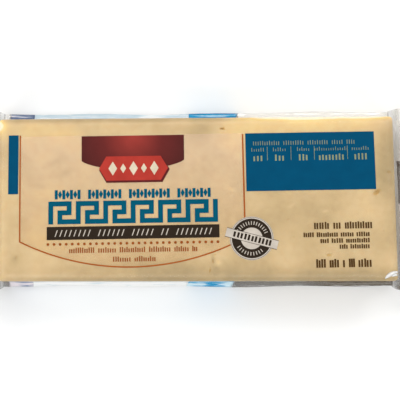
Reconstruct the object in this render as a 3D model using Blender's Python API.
"""A block of white cheddar in its clear printed film pack.

The pack lies on its back with the printed face up. +X runs along the block, +Y across it and
+Z up. The origin is on the surface that the pack lies on, under the middle of the pack.
Everything is in metres.
"""

from math import cos, pi, radians, sin, tau

import bmesh
import bpy

# The block of cheese, with the film drawn tight on it
BLOCK_LENGTH = 0.1421
BLOCK_WIDTH = 0.0587
WIDTH_TAPER = 0.0075
BLOCK_THICKNESS = 0.0253
EDGE_RADIUS = 0.0032
CORNER_SQUARENESS = 5
RIGHT_END_LEAN = 0.028
LEFT_END_LEAN = 0.012
LEAN_STARTS = 0.035

# The slack of the film tube, pressed into a skirt along both long sides of the back
SKIRT_AT_FAR_SIDE = 0.0031
SKIRT_AT_NEAR_SIDE = 0.0023
SKIRT_THICKNESS = 0.0007
SKIRT_RISE = 0.0075
SKIRT_WAVE = 0.00035

# The seam of the film tube, folded flat under the back
SEAM_WIDTH = 0.012
SEAM_STEP = 0.0004
SEAM_EDGE = 0.0004

# The crimped seals across both ends
PACK_LENGTH = 0.1774
FIN_WIDTH = 0.0664
FIN_THICKNESS = 0.0006
FIN_LENGTH = 0.0125
FIN_ROOT_HEIGHT = 0.0120
FIN_DROOP = 0.0030
FIN_WAVE = 0.0007
FIN_WAVE_PITCH = 0.037
FIN_WAVE_START = {"right": 0.6, "left": 2.1}
CRIMPS = 5
CRIMP_DEPTH = 0.00022

# The gathered film between the block and the seals
SHOULDER_RINGS = 6
SHOULDER_HUG = 2.4
PLEAT_DEPTH = 0.0007
PLEATS = 5

# How finely the surface is divided
EDGE_STEPS = 5
SKIRT_STEPS = 4
TOP_STEPS = 6
BACK_STEPS = 3
BODY_RINGS = 27
LAST_EDGE_TURN = 0.94

# Slow dips and swellings of the face: height, then lengths along and across the block
UNEVEN_HEIGHT = 0.00012
UNEVEN_LONG = (0.0110, 0.0090)
UNEVEN_SHORT = (0.0047, 0.0130)
SKIRT_WAVE_LENGTHS = (0.0063, 0.0171)

# Small cavities in the cheese that the film is drawn into: across the face from its middle,
# then length, width, depth and how far the cavity is turned
CAVITIES = (
    (0.0093, 0.0250, 0.0021, 0.0010, 0.0005, -4),
    (0.0644, 0.0022, 0.0024, 0.0013, 0.0006, 35),
    (0.0467, -0.0199, 0.0021, 0.0011, 0.0005, 8),
    (0.0052, -0.0240, 0.0013, 0.0034, 0.0004, 12),
)

FILM_COLOUR = (0.73, 0.51, 0.27, 1.0)
FILM_ROUGHNESS = 0.25

TOP = SEAM_STEP + BLOCK_THICKNESS
FAR, NEAR = 1, -1
SKIRT = {FAR: SKIRT_AT_FAR_SIDE, NEAR: SKIRT_AT_NEAR_SIDE}


def clear_scene():
    for thing in list(bpy.data.objects):
        bpy.data.objects.remove(thing, do_unlink=True)


def between(start, end, share):
    return start + (end - start) * share


def smooth(share):
    share = min(max(share, 0.0), 1.0)
    return share * share * (3 - 2 * share)


def half_width(x):
    """Half the width of the block, which was cut a little wider towards its right end."""
    return (BLOCK_WIDTH + WIDTH_TAPER * x) / 2


def back_points(side, half, inset):
    """The back of the pack from its middle out to the rim of the skirt."""
    skirt_rim = half + SKIRT[side]
    seam_edge = SEAM_WIDTH / 2
    back = SEAM_STEP + inset / 2
    points = [(seam_edge, inset / 2), (seam_edge + SEAM_EDGE, back)]
    for step in range(1, BACK_STEPS + 1):
        points.append((between(seam_edge + SEAM_EDGE, skirt_rim, step / BACK_STEPS), back))
    return points


def face_points(side, half, inset, tuck):
    """From the rim of the skirt up the side, round the long edge and in to the middle of the face."""
    skirt_rim = half + SKIRT[side]
    wall = half - tuck
    rim_top = SEAM_STEP + inset / 2 + SKIRT_THICKNESS
    top = TOP - inset
    points = [(skirt_rim, rim_top)]
    for step in range(1, SKIRT_STEPS + 1):
        angle = step / SKIRT_STEPS * pi / 2
        across = between(skirt_rim, wall, sin(angle))
        points.append((across, rim_top + SKIRT_RISE * (1 - cos(angle))))
    points.append((wall, between(rim_top + SKIRT_RISE, top - EDGE_RADIUS, 0.5)))
    for step in range(EDGE_STEPS + 1):
        angle = step / EDGE_STEPS * pi / 2
        across = wall - EDGE_RADIUS + EDGE_RADIUS * cos(angle)
        points.append((across, top - EDGE_RADIUS + EDGE_RADIUS * sin(angle)))
    for step in range(1, TOP_STEPS):
        points.append((between(wall - EDGE_RADIUS, 0.0, step / TOP_STEPS), top))
    return points


def share_of_run(points):
    """How far along the run of points each one lies, from 0 at its inner end to 1 at the rim."""
    lengths = [0.0]
    for (y0, z0), (y1, z1) in zip(points, points[1:]):
        lengths.append(lengths[-1] + ((y1 - y0) ** 2 + (z1 - z0) ** 2) ** 0.5)
    return [length / lengths[-1] for length in lengths]


def section(x, inset, tuck):
    """The closed section as (y, z, share of the fin's half width, above the fin's middle).

    Towards the block's ends the face and the back are drawn in by inset, and the sides by tuck.
    """
    loop = []
    for side in (FAR, NEAR):
        back = [(0.0, inset / 2)] + back_points(side, half_width(x), inset)
        face = face_points(side, half_width(x), inset, tuck) + [(0.0, TOP - inset)]
        back_share = share_of_run(back)
        face_share = share_of_run(face[::-1])[::-1]
        half = [(side * y, z, side * s, False) for (y, z), s in zip(back, back_share)]
        half += [(side * y, z, side * s, True) for (y, z), s in zip(face, face_share)]
        loop += half if side == FAR else half[-2:0:-1]
    return loop


def fin_height(x, y):
    """The middle of the end seal, which droops and waves towards its cut edge."""
    root = PACK_LENGTH / 2 - FIN_LENGTH
    out = max(0.0, abs(x) - root) / FIN_LENGTH
    start = FIN_WAVE_START["right" if x > 0 else "left"]
    wave = FIN_WAVE * out * sin(tau * y / FIN_WAVE_PITCH + start)
    crimp = CRIMP_DEPTH * cos(out * CRIMPS * tau) if out > 0.0 else CRIMP_DEPTH
    return FIN_ROOT_HEIGHT - FIN_DROOP * out * out + wave + crimp


def lean(x, y):
    """The ends were cut a little out of square; the seals beyond them are straight."""
    amount = -RIGHT_END_LEAN if x > 0 else LEFT_END_LEAN
    block_end = BLOCK_LENGTH / 2
    if abs(x) <= block_end:
        weight = smooth((abs(x) - LEAN_STARTS) / (block_end - LEAN_STARTS))
    else:
        weight = 1 - smooth((abs(x) - block_end) / (PACK_LENGTH / 2 - FIN_LENGTH - block_end))
    return amount * weight * y


def unevenness(x, y):
    """Slow dips and swellings of the cheese under the film."""
    long_wave = cos(x / UNEVEN_LONG[0]) * cos(y / UNEVEN_LONG[1])
    short_wave = sin(x / UNEVEN_SHORT[0] - y / UNEVEN_SHORT[1])
    return UNEVEN_HEIGHT * (long_wave + short_wave / 2)


def skirt_wave(x, side):
    """How far the rim of the skirt wanders out or in along the pack."""
    short, long = SKIRT_WAVE_LENGTHS
    return side * SKIRT_WAVE * (sin(x / short + side) + sin(x / long - side)) / 2


def ring(x, inset, tuck, morph):
    """One ring of the pack at x, from the block's section at morph 0 to the fin's at 1."""
    points = []
    for y, z, share, above in section(x, inset, tuck):
        rim = abs(share) == 1.0
        on_top = z == TOP - inset
        if morph == 0.0:
            if rim:
                y += skirt_wave(x, FAR if share > 0 else NEAR)
            if on_top:
                z += unevenness(x, y)
            points.append((x + lean(x, y), y, z))
            continue
        fin_y = share * FIN_WIDTH / 2
        thickness = FIN_THICKNESS / 2 * (1 if above else -1)
        fin_z = fin_height(x, fin_y) + thickness
        pleat = PLEAT_DEPTH * sin(pi * morph) * sin(share * PLEATS * pi)
        folded_y = between(y, fin_y, smooth(morph))
        folded_z = between(z, fin_z, smooth(morph)) + (0 if rim else pleat)
        points.append((x + lean(x, y) * (1 - morph), folded_y, folded_z))
    return points


def corner_tuck(angle):
    """How far a corner draws the side in: an arc at squareness 2, and nearer a right angle above."""
    reach = 1 - sin(angle) ** CORNER_SQUARENESS
    return EDGE_RADIUS * (1 - reach ** (1 / CORNER_SQUARENESS))


def stations():
    """(x, inset, tuck, morph) of each ring for the right-hand half, from the middle outwards."""
    block_end = BLOCK_LENGTH / 2
    straight = block_end - EDGE_RADIUS
    root = PACK_LENGTH / 2 - FIN_LENGTH
    half = [(straight * step * 2 / (BODY_RINGS - 1), 0.0, 0.0, 0.0) for step in range(BODY_RINGS // 2 + 1)]
    for step in range(1, EDGE_STEPS + 1):
        angle = step / EDGE_STEPS * pi / 2 * LAST_EDGE_TURN
        tuck = corner_tuck(angle)
        half.append((straight + EDGE_RADIUS * sin(angle), EDGE_RADIUS * (1 - cos(angle)), tuck, 0.0))
    for step in range(1, SHOULDER_RINGS + 1):
        share = step / SHOULDER_RINGS
        half.append((between(block_end, root, share**SHOULDER_HUG), EDGE_RADIUS, tuck, share))
    for step in range(1, 2 * CRIMPS + 1):
        half.append((root + FIN_LENGTH * step / (2 * CRIMPS), EDGE_RADIUS, tuck, 1.0))
    return half


def build_pack():
    """Joins the rings into one closed skin, with the cut edges of the fins closed flat."""
    half = stations()
    rows = [(-x, *rest) for x, *rest in half[:0:-1]] + half
    shape = bmesh.new()
    rings = [[shape.verts.new(point) for point in ring(*row)] for row in rows]
    count = len(rings[0])
    for first, second in zip(rings, rings[1:]):
        for at in range(count):
            after = (at + 1) % count
            shape.faces.new((first[at], first[after], second[after], second[at]))
    shape.faces.new(rings[0])
    shape.faces.new(rings[-1][::-1])
    bmesh.ops.recalc_face_normals(shape, faces=shape.faces)
    mesh = bpy.data.meshes.new("cheddar_pack")
    shape.to_mesh(mesh)
    shape.free()
    return bpy.data.objects.new("cheddar_pack", mesh)


def add_cavity(pack, cutters, across, up, length, width, depth, turn):
    """A shallow hollow pressed into the face by a flattened ball."""
    bpy.ops.mesh.primitive_uv_sphere_add(segments=12, ring_count=6, radius=1.0)
    ball = bpy.context.object
    ball.name = f"cavity_{len(cutters.objects)}"
    for collection in list(ball.users_collection):
        collection.objects.unlink(ball)
    cutters.objects.link(ball)
    ball.scale = (length / 2, width / 2, depth)
    ball.rotation_euler = (0, 0, radians(turn))
    ball.location = (across, up, TOP + unevenness(across, up))
    ball.hide_render = True
    ball.display_type = "WIRE"
    cut = pack.modifiers.new(ball.name, "BOOLEAN")
    cut.operation = "DIFFERENCE"
    cut.solver = "EXACT"
    cut.object = ball


def film_material():
    material = bpy.data.materials.new("printed_film_on_cheese")
    material.use_nodes = True
    shader = material.node_tree.nodes["Principled BSDF"]
    shader.inputs["Base Color"].default_value = FILM_COLOUR
    shader.inputs["Roughness"].default_value = FILM_ROUGHNESS
    shader.inputs["Metallic"].default_value = 0.0
    return material


def main():
    clear_scene()
    parts = bpy.data.collections.new("cheddar block pack")
    cutters = bpy.data.collections.new("cutters")
    for collection in (parts, cutters):
        bpy.context.scene.collection.children.link(collection)
    pack = build_pack()
    parts.objects.link(pack)
    pack.data.materials.append(film_material())
    pack.data.shade_smooth()
    pack.data.set_sharp_from_angle(angle=radians(40))
    for cavity in CAVITIES:
        add_cavity(pack, cutters, *cavity)


main()
